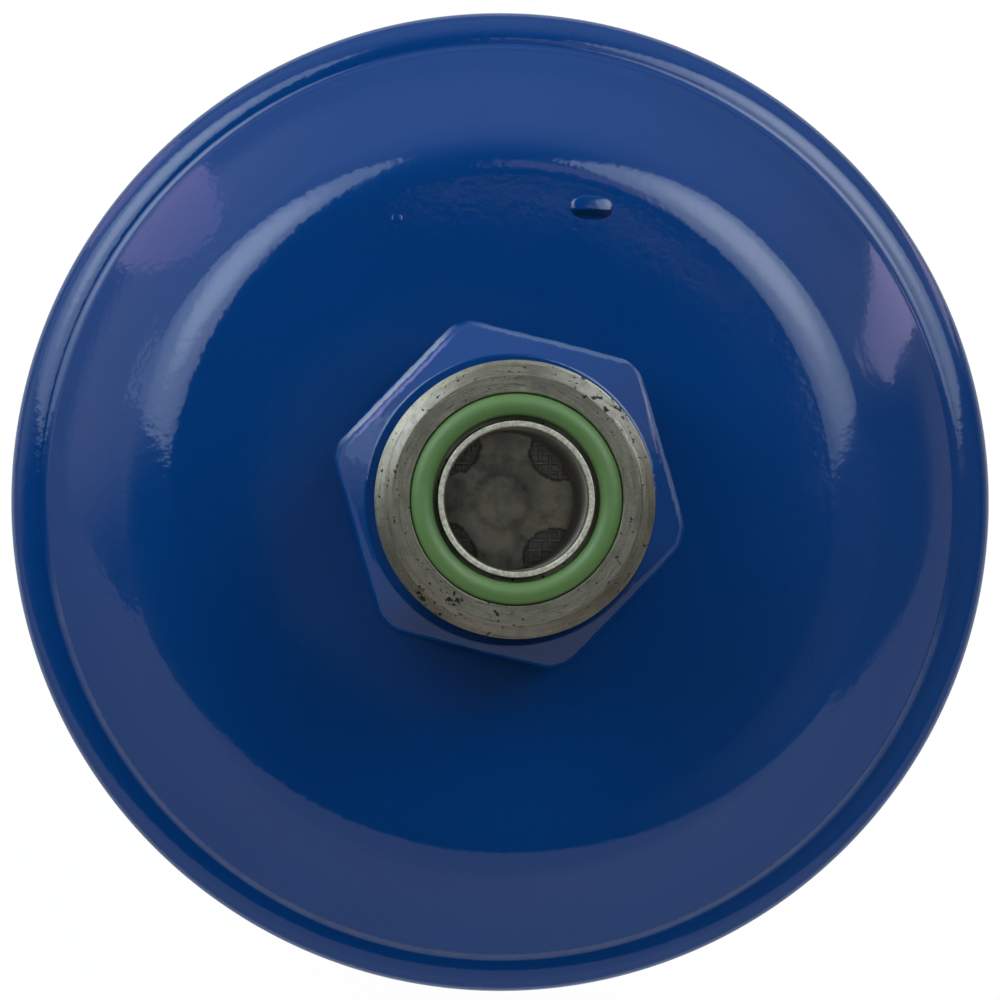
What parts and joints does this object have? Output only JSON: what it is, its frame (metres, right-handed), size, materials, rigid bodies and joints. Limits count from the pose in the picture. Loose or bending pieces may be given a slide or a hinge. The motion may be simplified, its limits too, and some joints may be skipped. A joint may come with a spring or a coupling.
{
  "type": "inline filter drier",
  "caption": "Blue steel filter drier that is screwed into a refrigerant line by the face-seal fitting at each end and dries and filters what flows through it.",
  "frame": {"origin": "on the axis, at the lowest plane of the inlet O-ring, on which the drier stands", "axes": "+Z along the axis from the inlet to the outlet end, which the picture shows; +X to the right and +Y up in the picture"},
  "size_m": [0.0762, 0.0762, 0.166],
  "materials": {
    "blue_paint": "glossy powder coat with a fine orange peel",
    "bare_steel": "turned, dulled by oil, with dark pits",
    "green_seal": "satin",
    "copper": "brazed, dull",
    "stamped_steel": "dull grey, stained",
    "woven_wire": "fine plain weave",
    "spring_steel": "drawn wire, oiled",
    "felt": "pressed felt",
    "moulded_desiccant": "matte, granular"
  },
  "bodies": {
    "root": {"shell": "blue_paint", "outlet_end_cap": "blue_paint", "inlet_end_cap": "blue_paint", "outlet_seam_weld": "blue_paint", "inlet_seam_weld": "blue_paint", "outlet_fitting": "bare_steel", "inlet_fitting": "bare_steel", "outlet_o_ring": "green_seal", "inlet_o_ring": "green_seal", "outlet_braze_ring": "copper", "inlet_braze_ring": "copper", "perforated_plate": "stamped_steel", "spring_plate": "stamped_steel", "outlet_wire_screen": "woven_wire", "core_spring": "spring_steel", "outlet_filter_pad": "felt", "inlet_cushion_pad": "felt", "desiccant_core": "moulded_desiccant"}
  },
  "joints": []
}
